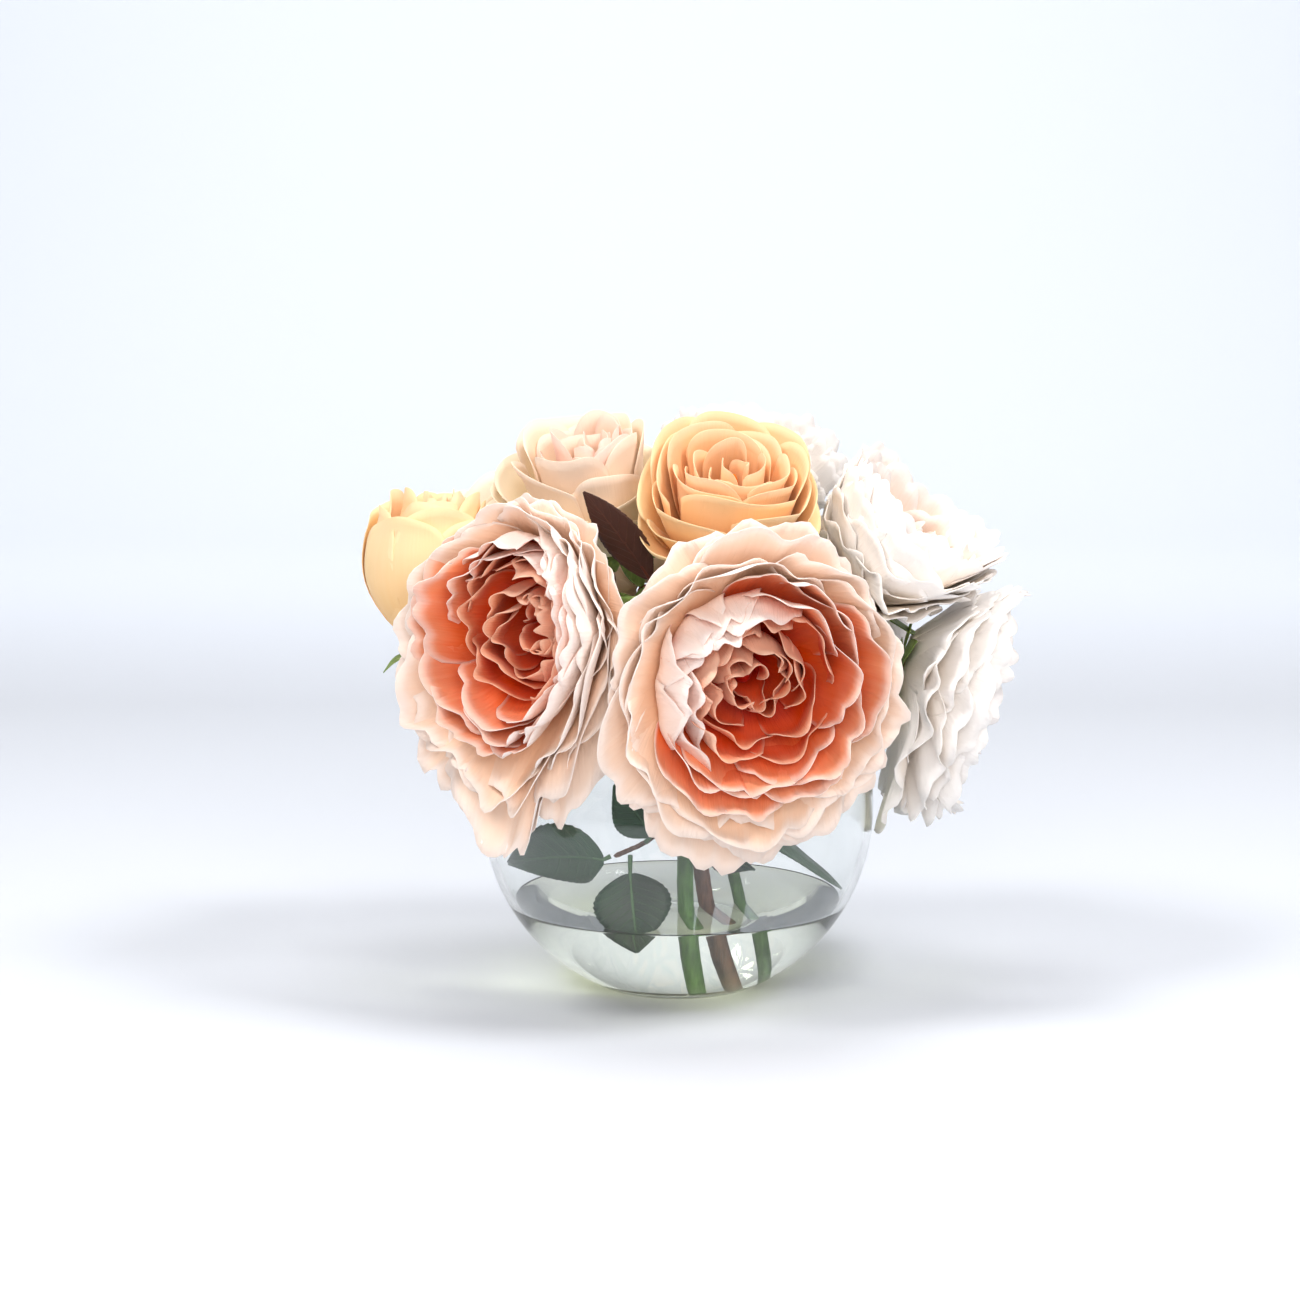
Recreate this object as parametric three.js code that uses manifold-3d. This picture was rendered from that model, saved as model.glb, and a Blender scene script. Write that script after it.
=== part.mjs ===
// Flower arrangement in a clear glass rose bowl: peonies and roses on branching
// stems, a few leaves, and a clear set filling that looks like water.
// Units are millimetres, +Z is up, the bowl stands on z = 0 with its axis on Z.
import * as THREE from 'three';
import { mergeVertices } from 'three/addons/utils/BufferGeometryUtils.js';
import Module from 'manifold-3d';

const wasm = await Module();
wasm.setup();

// ---- driving sizes -------------------------------------------------------
const BOWL_RADIUS = 76;
const FOOT_RADIUS = 30;
const MOUTH_RADIUS = 50;
const GLASS = 2.8;
const FLOOR_TOP = 4.5;
const WATER_TOP = 34;
const FIT = 0.3;
const AROUND = 32;
const BELOW_WATER_STEPS = 4;
const ABOVE_WATER_STEPS = 5;

const CALYX_LENGTH = 9;
const CALYX_RADIUS = 5.5;
const PETAL_WALL = 1.1;
const LOBES = 5;
const SEGMENTS_PER_LOBE = 4;
const CUP_STEP = 3.2;
const CLEAR_OF_GLASS = 1.8;
const CLEAR_OF_NEIGHBOUR = 0.45;
const CORE_MARGIN = 0.9;

const PEONY = {
  waist: 0.45,
  outer: { reach: 1, angles: [4, 24, 42, 40], lobe: 0.05, turn: 0 },
  inner: { reach: 0.66, angles: [5, 40, 70, 84], lobe: 0.05, turn: 0.6 },
  heart: { middle: 0.5, half: 0.34, radius: 0.34 },
};
const ROSE = {
  waist: 0.45,
  outer: { reach: 1, angles: [10, 50, 74, 34], lobe: 0.05, turn: 0 },
  inner: { reach: 0.5, angles: [10, 60, 85, 94], lobe: 0.04, turn: 0.6 },
  heart: { middle: 0.64, half: 0.42, radius: 0.36 },
};

const HALF_OPEN_ROSE = {
  waist: 1.05,
  outer: { reach: 1, angles: [8, 45, 86, 102], lobe: 0.05, turn: 0 },
  inner: { reach: 0.66, angles: [8, 52, 88, 106], lobe: 0.04, turn: 0.6 },
  heart: { middle: 1.05, half: 0.6, radius: 0.36 },
};

// Each bloom: where its base sits, the way it faces, its radius, how tall it is
// drawn along its axis, and how far its outer petals hang.
const BLOOMS = {
  front_peony: { form: PEONY, base: [21, -64, 133], facing: [0.24, -0.93, -0.3], radius: 57,
    tall: 1, sag: 4, petal: '#f0a27c', edge: '#f7d2b8', heart: '#dc5a2e' },
  left_peony: { form: PEONY, base: [-40, -47, 146], facing: [-0.5, -0.85, 0.06], radius: 59,
    tall: 1, sag: 13, petal: '#f0a27c', edge: '#f7d2b8', heart: '#dc5a2e' },
  top_rose: { form: ROSE, base: [19, -7, 171], facing: [0.05, -0.5, 0.86], radius: 41,
    tall: 0.9, sag: 0, petal: '#f9cb94', edge: '#fbd9aa', heart: '#f4a860' },
  left_rose: { form: HALF_OPEN_ROSE, base: [-94, -5, 130], facing: [0.03, 0.05, 1], radius: 29,
    tall: 1.2, sag: 0, petal: '#f8d19a', edge: '#f4dcae', heart: '#f3ab62' },
  blush_rose: { form: ROSE, base: [-27, 12, 168], facing: [-0.1, -0.04, 0.99], radius: 37,
    tall: 1.5, sag: 0, petal: '#fae3cb', edge: '#f8d6cc', heart: '#f6c6ae' },
  right_peony: { form: PEONY, base: [69, 3, 155], facing: [0.6, -0.15, 0.78], radius: 48,
    tall: 1, sag: 2, petal: '#fae7da', edge: '#fbeee6', heart: '#f3cdb4' },
  low_right_peony: { form: PEONY, base: [88, 5, 124], facing: [0.95, -0.02, -0.28], radius: 41,
    tall: 1, sag: 5, petal: '#f9e6d8', edge: '#fbeee6', heart: '#f2ccb2' },
  crown_peony: { form: PEONY, base: [29, 37, 181], facing: [0.18, 0.38, 0.9], radius: 42,
    tall: 1, sag: 0, petal: '#f6ebdc', edge: '#fbf2ea', heart: '#f0d2b8' },
  back_peony: { form: PEONY, base: [-12, 50, 145], facing: [-0.1, 0.98, 0.15], radius: 51,
    tall: 1, sag: 4, petal: '#f1b192', edge: '#f8dac4', heart: '#df6a3e' },
  back_right_peony: { form: PEONY, base: [52, 52, 138], facing: [0.62, 0.78, 0.02], radius: 42,
    tall: 1, sag: 4, petal: '#f9e6d8', edge: '#fbeee6', heart: '#f2ccb2' },
  back_left_rose: { form: ROSE, base: [-64, 40, 146], facing: [-0.62, 0.52, 0.58], radius: 36,
    tall: 1.15, sag: 0, petal: '#fae3cb', edge: '#f8d6cc', heart: '#f6c6ae' },
};

const GREEN_STEM = '#3f6b3a';
const BROWN_STEM = '#5a3a2e';
const LEAF_GREEN = '#27472d';
const LEAF_DARK = '#1f3a25';
const LEAF_BURGUNDY = '#3a1812';
const CALYX_GREEN = '#6f8a4a';

// ---- helpers -------------------------------------------------------------
const vector = (a) => new THREE.Vector3(a[0], a[1], a[2]);
const radians = THREE.MathUtils.degToRad;

const group = new THREE.Group();

function addPart(name, geometry, colour, roughness, metalness = 0, extra = {}) {
  const material = new THREE.MeshStandardMaterial({ color: colour, roughness, metalness, ...extra });
  const mesh = new THREE.Mesh(geometry, material);
  mesh.name = name;
  group.add(mesh);
}

// Welds equal corners and turns the faces outward if the volume comes out negative.
function closed(geometry) {
  geometry.deleteAttribute('normal');
  geometry.deleteAttribute('uv');
  const welded = mergeVertices(geometry, 1e-3);
  const place = welded.attributes.position;
  const kept = [];
  let volume = 0;
  for (let i = 0; i < welded.index.count; i += 3) {
    const ids = [0, 1, 2].map((k) => welded.index.getX(i + k));
    if (ids[0] === ids[1] || ids[1] === ids[2] || ids[2] === ids[0]) continue;
    const [a, b, c] = ids.map((id) => new THREE.Vector3().fromBufferAttribute(place, id));
    volume += a.dot(b.cross(c)) / 6;
    kept.push(ids);
  }
  const order = volume > 0 ? kept.flat() : kept.flatMap((t) => [t[0], t[2], t[1]]);
  welded.setIndex(order);
  welded.computeVertexNormals();
  return welded;
}

function toSolid(geometry) {
  const mesh = closed(geometry);
  return new wasm.Manifold(new wasm.Mesh({
    numProp: 3,
    vertProperties: new Float32Array(mesh.attributes.position.array),
    triVerts: new Uint32Array(mesh.index.array),
  }));
}

function fromSolid(solid) {
  const mesh = solid.getMesh();
  const geometry = new THREE.BufferGeometry();
  geometry.setAttribute('position', new THREE.BufferAttribute(new Float32Array(mesh.vertProperties), 3));
  geometry.setIndex(new THREE.BufferAttribute(new Uint32Array(mesh.triVerts), 1));
  return closed(geometry);
}

function lathe(profile, around = AROUND) {
  const points = profile.map(([r, z]) => new THREE.Vector2(r, z));
  const geometry = new THREE.LatheGeometry(points, around);
  geometry.rotateX(Math.PI / 2);
  return closed(geometry);
}

// A round rod of even thickness along a smooth path.
function rod(points, radius, steps, sides = 8) {
  const ring = [];
  for (let i = 0; i < sides; i += 1) {
    const turn = (i / sides) * Math.PI * 2;
    ring.push(new THREE.Vector2(radius * Math.cos(turn), radius * Math.sin(turn)));
  }
  const path = new THREE.CatmullRomCurve3(points.map(vector), false, 'centripetal');
  return new THREE.ExtrudeGeometry(new THREE.Shape(ring), { steps, extrudePath: path });
}

// ---- bowl and filling ----------------------------------------------------
const SPHERE_HEIGHT = Math.sqrt(BOWL_RADIUS ** 2 - FOOT_RADIUS ** 2);
const SPHERE = new THREE.Vector3(0, 0, SPHERE_HEIGHT);
const INSIDE_RADIUS = BOWL_RADIUS - GLASS;

// Points up a sphere about the bowl's middle, between two heights.
function sphereWall(radius, low, high, steps) {
  const start = Math.asin((low - SPHERE_HEIGHT) / radius);
  const end = Math.asin((high - SPHERE_HEIGHT) / radius);
  const points = [];
  for (let i = 0; i <= steps; i += 1) {
    const angle = start + ((end - start) * i) / steps;
    points.push([radius * Math.cos(angle), SPHERE_HEIGHT + radius * Math.sin(angle)]);
  }
  return points;
}

const MOUTH_HEIGHT = SPHERE_HEIGHT + Math.sqrt(BOWL_RADIUS ** 2 - MOUTH_RADIUS ** 2);

function bowlProfile() {
  const outside = sphereWall(BOWL_RADIUS, 0, MOUTH_HEIGHT, 11);
  const wet = sphereWall(INSIDE_RADIUS, FLOOR_TOP, WATER_TOP, BELOW_WATER_STEPS);
  const dry = sphereWall(INSIDE_RADIUS, WATER_TOP, MOUTH_HEIGHT - 0.6, ABOVE_WATER_STEPS);
  const inside = wet.concat(dry.slice(1)).reverse();
  const lip = [[MOUTH_RADIUS - 0.6, MOUTH_HEIGHT + 1.2], [MOUTH_RADIUS - 2.6, MOUTH_HEIGHT + 1]];
  return [[0, 0], ...outside, ...lip, ...inside, [0, FLOOR_TOP]];
}

function waterProfile() {
  const wall = sphereWall(INSIDE_RADIUS - FIT, FLOOR_TOP + FIT, WATER_TOP, BELOW_WATER_STEPS);
  return [[0, FLOOR_TOP + FIT], ...wall, [0, WATER_TOP]];
}

addPart('glass_bowl', lathe(bowlProfile()), '#e6eeea', 0.04, 0, { transparent: true, opacity: 0.35 });

// ---- stems ---------------------------------------------------------------
const bloomFacing = (bloom) => vector(bloom.facing).normalize();

// The point just behind a bloom's calyx, where its stem stops.
function neck(name, back = CALYX_LENGTH + FIT) {
  const bloom = BLOOMS[name];
  return vector(bloom.base).addScaledVector(bloomFacing(bloom), -back).toArray();
}

const STEMS = {
  front_green_stem: {
    colour: GREEN_STEM,
    radius: 3.4,
    trunk: [[7, -24, 6.5], [3, -24, 34], [3, -20, 70], [2, -16, 100], [3, -18, 120]],
    branches: [
      { radius: 2.6, path: [[3, -17.5, 117], [9, -32, 135], neck('front_peony', 15), neck('front_peony')] },
      { radius: 2.6, path: [[2.5, -17, 112], [-9, -26, 134], neck('left_peony', 16), neck('left_peony')] },
      { radius: 2.2, path: [[2, -16, 104], [-22, -15, 128], [-48, -12, 138], [-74, -10, 125],
        [-87, -9.6, 116.2], neck('left_rose', 12.5), neck('left_rose')] },
    ],
  },
  brown_stem: {
    colour: BROWN_STEM,
    radius: 3.3,
    trunk: [[20, -16, 6.5], [11, -14, 34], [7, -8, 70], [4, 0, 100], [3, 4, 125]],
    branches: [
      { radius: 2.4, path: [[3, 3.5, 121], [8, 2, 145], neck('top_rose', 16), neck('top_rose')] },
      { radius: 2.4, path: [[3, 3, 118], [-16, 8, 138], neck('blush_rose', 16), neck('blush_rose')] },
      { radius: 2.4, path: [[3, 2.5, 113], [-4, 20, 133], neck('back_peony', 15), neck('back_peony')] },
      { radius: 2.2, path: [[3.2, 1.5, 107], [-20, 14, 127], [-42, 28, 137],
        neck('back_left_rose', 14), neck('back_left_rose')] },
      { radius: 1.3, path: [[7.3, -8, 67], [-3, -11, 66], [-11, -30, 62], [-24, -40, 58]] },
    ],
  },
  right_green_stem: {
    colour: GREEN_STEM,
    radius: 2.6,
    trunk: [[29.5, -10, 8], [24, -10, 34], [17.5, -6, 65], [17, 2, 95], [17, 6, 122]],
    branches: [
      { radius: 2.2, path: [[17, 5, 116], [36, 5, 134], neck('right_peony', 17), neck('right_peony')] },
      { radius: 2.2, path: [[17, 4, 108], [36, 3, 127], [56, 4, 136], neck('low_right_peony', 12),
        neck('low_right_peony')] },
      { radius: 2.4, path: [[17, 6, 118], [20, 20, 146], neck('crown_peony', 16), neck('crown_peony')] },
      { radius: 2.2, path: [[17, 5.5, 112], [27, 24, 131], neck('back_right_peony', 16),
        neck('back_right_peony')] },
    ],
  },
};

function stemSolid(stem) {
  let solid = toSolid(rod(stem.trunk, stem.radius, 12));
  for (const branch of stem.branches) {
    solid = solid.add(toSolid(rod(branch.path, branch.radius, 9, 6)));
  }
  return solid;
}

for (const [name, stem] of Object.entries(STEMS)) {
  addPart(name, fromSolid(stemSolid(stem)), stem.colour, 0.6);
}

// ---- leaves --------------------------------------------------------------
// A leaf is a bent, folded blade: the midrib follows a curve, each crossing is a
// shallow V, and the width swells and narrows from stalk to tip.
const LEAVES = {
  left_leaf: { colour: LEAF_GREEN, rib: [[-28, -41, 57], [-44, -38, 59], [-64, -22, 52]],
    across: [0.35, -0.65, 0.75], width: 15, fold: 0.16, stalk: [[-25.3, -40.6, 58.2], [-28, -41, 57]] },
  round_leaf: { colour: LEAF_DARK, rib: [[-18, -43, 52], [-17, -50, 40], [-15, -52, 26]],
    across: [1, -0.1, 0.05], width: 14, fold: 0.1, stalk: [[-18, -39.2, 58.2], [-18, -43, 52]] },
  middle_leaf: { colour: LEAF_DARK, rib: [[4, -35, 66], [14, -46, 61], [28, -50, 55]],
    across: [-0.3, -0.55, 0.75], width: 12, fold: 0.16, stalk: [[-8.6, -30, 63.6], [4, -35, 66]] },
  right_leaf: { colour: LEAF_GREEN, rib: [[30, -14, 64], [47, -25, 57], [61, -27, 43]],
    across: [-0.05, -1, -0.12], width: 9, fold: 0.16, stalk: [[20, -9.5, 65], [30, -14, 64]] },
  small_leaf: { colour: LEAF_GREEN, rib: [[-10, -40, 66], [-16, -45, 76], [-24, -45, 86]],
    across: [0.9, 0.2, 0.5], width: 9, fold: 0.14, stalk: [[-12.2, -35.2, 62.6], [-10, -40, 66]] },
  burgundy_leaf: { colour: LEAF_BURGUNDY, rib: [[-11, -31, 162], [-23, -43, 182], [-35, -47, 196]],
    across: [0.85, -0.4, 0.4], width: 8, fold: 0.12, stalk: [[3.5, -4.5, 134], [-11, -31, 162]] },
};
const LEAF_THICK = 0.9;
const LEAF_STEPS = 8;
const STALK_RADIUS = 0.9;

function leafBlade(leaf, grow = 0) {
  const rib = new THREE.QuadraticBezierCurve3(...leaf.rib.map(vector));
  const side = vector(leaf.across).normalize();
  const half = LEAF_THICK / 2 + grow;
  const points = [];
  for (let i = 0; i <= LEAF_STEPS; i += 1) {
    const t = i / LEAF_STEPS;
    const along = rib.getTangent(t);
    const face = new THREE.Vector3().crossVectors(along, side).normalize();
    const out = new THREE.Vector3().crossVectors(face, along).normalize();
    const swell = Math.sin(Math.PI * Math.pow(0.03 + 0.94 * t, 0.8));
    const width = Math.max(leaf.width * swell, 1) + grow;
    const middle = rib.getPoint(t).addScaledVector(along, grow * (2 * t - 1));
    const lift = width * leaf.fold;
    for (const [sideways, up] of [[-1, 1], [0, 1], [1, 1], [1, -1], [0, -1], [-1, -1]]) {
      const rise = Math.abs(sideways) * lift + up * half;
      points.push(middle.clone().addScaledVector(out, sideways * width).addScaledVector(face, rise));
    }
  }
  return loft(points, 6);
}

// Joins equal rings of corners, one after another, and closes both ends.
function loft(points, ring) {
  const rings = points.length / ring;
  const order = [];
  for (let i = 0; i < rings - 1; i += 1) {
    for (let k = 0; k < ring; k += 1) {
      const a = i * ring + k;
      const b = i * ring + ((k + 1) % ring);
      order.push(a, b, a + ring, b, b + ring, a + ring);
    }
  }
  const last = (rings - 1) * ring;
  const cap = [[0, 1, 5], [1, 4, 5], [1, 2, 4], [2, 3, 4]];
  for (const [a, b, c] of cap) {
    order.push(a, c, b);
    order.push(last + a, last + b, last + c);
  }
  const geometry = new THREE.BufferGeometry();
  geometry.setAttribute('position', new THREE.Float32BufferAttribute(points.flatMap((p) => p.toArray()), 3));
  geometry.setIndex(order);
  return geometry;
}

for (const [name, leaf] of Object.entries(LEAVES)) {
  const reach = leaf.stalk[1].map((v, i) => v + (leaf.rib[1][i] - v) * 0.12);
  const stalk = toSolid(rod([leaf.stalk[0], leaf.stalk[1], reach], STALK_RADIUS, 4, 6));
  addPart(name, fromSolid(toSolid(leafBlade(leaf)).add(stalk)), leaf.colour, 0.55);
}

// The filling is set around the stems and the dipped leaf, with a thin clearance.
let filling = toSolid(lathe(waterProfile()));
for (const stem of Object.values(STEMS)) {
  filling = filling.subtract(toSolid(rod(stem.trunk, stem.radius + FIT, 12)));
}
for (const name of ['round_leaf', 'right_leaf']) {
  filling = filling.subtract(toSolid(leafBlade(LEAVES[name], FIT)));
}
addPart('clear_filling', fromSolid(filling), '#e4ecd8', 0.05, 0, { transparent: true, opacity: 0.5 });

// ---- blooms --------------------------------------------------------------
const bloomNames = Object.keys(BLOOMS);

function place(bloom) {
  const up = bloomFacing(bloom);
  const side = Math.abs(up.z) > 0.95 ? new THREE.Vector3(1, 0, 0) : new THREE.Vector3(0, 0, 1);
  const first = new THREE.Vector3().crossVectors(side, up).normalize();
  const second = new THREE.Vector3().crossVectors(up, first).normalize();
  return new THREE.Matrix4().makeBasis(first, second, up).setPosition(vector(bloom.base));
}

const bloomMiddle = (bloom) => vector(bloom.base)
  .addScaledVector(bloomFacing(bloom), bloom.form.waist * bloom.radius);

// The bud at the middle of a bloom and the calyx behind it, as balls to stay clear of.
function core(bloom) {
  const facing = bloomFacing(bloom);
  const { middle, half, radius } = bloom.form.heart;
  const at = (height) => vector(bloom.base).addScaledVector(facing, height);
  const mid = middle * bloom.radius * bloom.tall;
  const size = radius * bloom.radius;
  const spread = Math.max(0, half * bloom.radius * bloom.tall - size);
  return [
    { at: at(mid - spread), radius: size },
    { at: at(mid + spread), radius: size },
    { at: at(-CALYX_LENGTH / 2), radius: CALYX_RADIUS },
  ];
}

// One flat divider for each neighbour, as a distance that must stay above zero.
function dividers(name) {
  const own = BLOOMS[name];
  const middle = bloomMiddle(own);
  return bloomNames.filter((other) => other !== name).map((other) => {
    const next = BLOOMS[other];
    const across = bloomMiddle(next).sub(middle);
    const gap = across.length();
    const wall = (gap * own.radius) / (own.radius + next.radius);
    const normal = across.clone().divideScalar(gap);
    const distance = (p) => wall - CLEAR_OF_NEIGHBOUR - p.clone().sub(middle).dot(normal);
    const shift = (p, by) => p.addScaledVector(normal, -by);
    return { distance, shift };
  });
}

function glassDivider() {
  const keep = BOWL_RADIUS + CLEAR_OF_GLASS;
  const distance = (p) => p.distanceTo(SPHERE) - keep;
  const shift = (p, by) => p.addScaledVector(p.clone().sub(SPHERE).normalize(), by);
  return { distance, shift };
}

// Crowds petals against a divider: everything between the divider's far side and
// the bloom's core is drawn in evenly, so layers stay nested and never cross.
function crowd(points, divider, balls) {
  const free = Math.min(...balls.map((ball) => divider.distance(ball.at) - ball.radius)) - CORE_MARGIN;
  const deepest = Math.min(...points.map((p) => divider.distance(p)));
  if (deepest >= 0) return;
  const ease = free / (free - deepest);
  for (const p of points) {
    const d = divider.distance(p);
    if (d < free) divider.shift(p, free - (free - d) * ease - d);
  }
}

// Outline of one petal layer from the bloom's axis out to its rim, then back down
// its inner face, as [radius, height, how far out].
function cupOutline(layer, radius, tall, foot) {
  const turns = layer.angles.map(radians);
  let sum = 0;
  const wide = Math.max(...turns.map((a) => (sum += Math.cos(a))));
  const length = (layer.reach * radius) / wide;
  const under = [[0, foot, 0]];
  turns.forEach((a, i) => {
    const [r, z] = under[i];
    under.push([r + length * Math.cos(a), z + length * Math.sin(a) * tall, (i + 1) / turns.length]);
  });
  const over = under.map(([r, z, t], i) => {
    const a = turns[Math.min(i, turns.length - 1)];
    const b = turns[Math.max(i - 1, 0)];
    const lean = i === 0 ? 0 : (a + b) / 2;
    return [Math.max(r - PETAL_WALL * Math.sin(lean), 0), z + PETAL_WALL * Math.cos(lean), t];
  });
  return under.concat(over.reverse());
}

function petalCup(bloom, layer, foot) {
  const outline = cupOutline(layer, bloom.radius, bloom.tall, foot);
  const around = LOBES * SEGMENTS_PER_LOBE;
  const frame = place(bloom);
  const droop = bloom.sag * (layer.reach === 1 ? 1 : 0);
  const points = new THREE.LatheGeometry(outline.map(([r, z]) => new THREE.Vector2(r, z)), around);
  points.rotateX(Math.PI / 2);
  const at = points.attributes.position;
  for (let i = 0; i < at.count; i += 1) {
    const out = outline[i % outline.length][2];
    const p = new THREE.Vector3().fromBufferAttribute(at, i);
    const angle = Math.atan2(p.y, p.x);
    const lobe = Math.cos(LOBES * (angle + layer.turn)) * out * out;
    const swell = 1 + layer.lobe * lobe;
    p.set(p.x * swell, p.y * swell, p.z + layer.lobe * 0.7 * bloom.radius * lobe);
    p.applyMatrix4(frame);
    p.z -= droop * out * out;
    at.setXYZ(i, p.x, p.y, p.z);
  }
  return points;
}

function heartBud(bloom) {
  const { middle, half, radius } = bloom.form.heart;
  const profile = [];
  const steps = 6;
  for (let i = 0; i <= steps; i += 1) {
    const angle = -Math.PI / 2 + (Math.PI * i) / steps;
    const rise = middle * bloom.radius + half * bloom.radius * Math.sin(angle);
    profile.push([i % steps === 0 ? 0 : radius * bloom.radius * Math.cos(angle), rise * bloom.tall]);
  }
  return lathe(profile, 2 * LOBES).applyMatrix4(place(bloom));
}

function calyx(bloom) {
  const profile = [
    [0, -CALYX_LENGTH],
    [2.8, -CALYX_LENGTH],
    [CALYX_RADIUS, -3.5],
    [CALYX_RADIUS - 0.8, -0.8],
    [0, -0.5],
  ];
  return lathe(profile, 2 * LOBES).applyMatrix4(place(bloom));
}

function corners(geometry) {
  const at = geometry.attributes.position;
  return Array.from({ length: at.count }, (_, i) => new THREE.Vector3().fromBufferAttribute(at, i));
}

for (const name of bloomNames) {
  const bloom = BLOOMS[name];
  const cups = [
    petalCup(bloom, bloom.form.outer, 0.2),
    petalCup(bloom, bloom.form.inner, CUP_STEP),
  ];
  const pointSets = cups.map(corners);
  const all = pointSets.flat();
  const balls = core(bloom);
  for (let pass = 0; pass < 3; pass += 1) {
    for (const divider of dividers(name)) crowd(all, divider, balls);
    crowd(all, glassDivider(), balls);
  }
  cups.forEach((cup, i) => {
    pointSets[i].forEach((p, k) => cup.attributes.position.setXYZ(k, p.x, p.y, p.z));
  });
  addPart(`${name}_calyx`, calyx(bloom), CALYX_GREEN, 0.6);
  addPart(`${name}_outer_petals`, closed(cups[0]), bloom.edge, 0.8);
  addPart(`${name}_inner_petals`, closed(cups[1]), bloom.petal, 0.8);
  addPart(`${name}_heart`, heartBud(bloom), bloom.heart, 0.8);
}

export default group;
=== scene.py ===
"""Peonies and roses in a clear glass rose bowl with a clear set filling.

Lengths in the tables are millimetres or shares of a bloom's radius; the meshes are metres.
"""
import math
from types import SimpleNamespace

import bpy
import numpy as np
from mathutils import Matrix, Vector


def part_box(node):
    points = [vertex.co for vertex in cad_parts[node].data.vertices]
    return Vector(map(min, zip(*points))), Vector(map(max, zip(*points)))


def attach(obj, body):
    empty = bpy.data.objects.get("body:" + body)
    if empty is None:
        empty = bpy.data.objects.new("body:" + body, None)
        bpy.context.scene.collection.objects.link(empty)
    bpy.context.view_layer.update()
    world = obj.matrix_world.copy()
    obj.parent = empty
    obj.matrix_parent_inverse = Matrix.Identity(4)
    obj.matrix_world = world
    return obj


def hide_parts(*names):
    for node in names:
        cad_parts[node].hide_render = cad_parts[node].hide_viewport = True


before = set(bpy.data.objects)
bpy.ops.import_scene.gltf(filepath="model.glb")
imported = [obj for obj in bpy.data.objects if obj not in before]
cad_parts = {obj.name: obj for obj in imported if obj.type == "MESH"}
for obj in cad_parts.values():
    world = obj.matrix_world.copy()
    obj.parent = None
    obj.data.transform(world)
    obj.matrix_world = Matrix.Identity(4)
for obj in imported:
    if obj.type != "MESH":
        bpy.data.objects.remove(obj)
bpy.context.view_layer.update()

MM = 0.001
ROOT = "root"


# ---------------------------------------------------------------- colours and shader maths
def hue(code):
    """A screen colour code as linear red, green, blue and full alpha."""
    parts = [int(code[i:i + 2], 16) / 255 for i in (1, 3, 5)]
    linear = [c / 12.92 if c <= 0.04045 else ((c + 0.055) / 1.055) ** 2.4 for c in parts]
    return (*linear, 1.0)


class Wire:
    """A shader value that can stand in sums, products and powers."""

    def __init__(self, paint, socket):
        self.paint, self.socket = paint, socket

    def __add__(self, other):
        return self.paint.maths("ADD", self, other)

    def __sub__(self, other):
        return self.paint.maths("SUBTRACT", self, other)

    def __rsub__(self, other):
        return self.paint.maths("SUBTRACT", other, self)

    def __mul__(self, other):
        return self.paint.maths("MULTIPLY", self, other)

    __radd__ = __add__
    __rmul__ = __mul__


class Paint:
    """One material and the nodes it is made of."""

    def __init__(self, name):
        self.material = bpy.data.materials.new(name)
        self.material.use_nodes = True
        self.tree = self.material.node_tree
        self.tree.nodes.clear()

    def put(self, socket, value):
        if isinstance(value, Wire):
            self.tree.links.new(value.socket, socket)
        else:
            socket.default_value = value

    def node(self, kind, settings=None, values=None, out=0):
        """A node of that kind: its settings first, then its sockets' values or links."""
        made = self.tree.nodes.new("ShaderNode" + kind)
        for key, value in (settings or {}).items():
            setattr(made, key, value)
        for key, value in (values or {}).items():
            self.put(made.inputs[key], value)
        return Wire(self, made.outputs[out]) if made.outputs else None

    def maths(self, operation, a, b=0.0):
        return self.node("Math", {"operation": operation}, {0: a, 1: b})

    def blend(self, share, a, b):
        """Colour a turning into colour b by share."""
        return self.node("Mix", {"data_type": "RGBA", "clamp_factor": True}, {0: share, 6: a, 7: b}, out=2)

    def step(self, value, low, high):
        """0 below low, 1 above high, smooth between."""
        return self.node("MapRange", {"interpolation_type": "SMOOTHSTEP"},
                         {"Value": value, "From Min": low, "From Max": high})

    def field(self, name):
        """A value stored at the corners of the mesh under that name."""
        return self.node("Attribute", {"attribute_name": name}, out=2)

    def place(self):
        """Where the point lies on its own object, in metres."""
        return self.node("TexCoord", out=3)

    def vector(self, x, y, z):
        return self.node("CombineXYZ", None, {0: x, 1: y, 2: z})

    def noise(self, at, scale, detail=2.0, rough=0.5):
        return self.node("TexNoise", None, {"Vector": at, "Scale": scale, "Detail": detail,
                                            "Roughness": rough})

    def bump(self, height, strength, depth, under=None):
        values = {"Height": height, "Strength": strength, "Distance": depth}
        if under is not None:
            values["Normal"] = under
        return self.node("Bump", None, values)

    def skin(self, **values):
        """The main shader; the names are its sockets with _ for a space."""
        named = {key.replace("_", " "): value for key, value in values.items()}
        return self.node("BsdfPrincipled", None, named)

    def finish(self, surface):
        self.node("OutputMaterial", None, {"Surface": surface})
        return self.material


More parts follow.
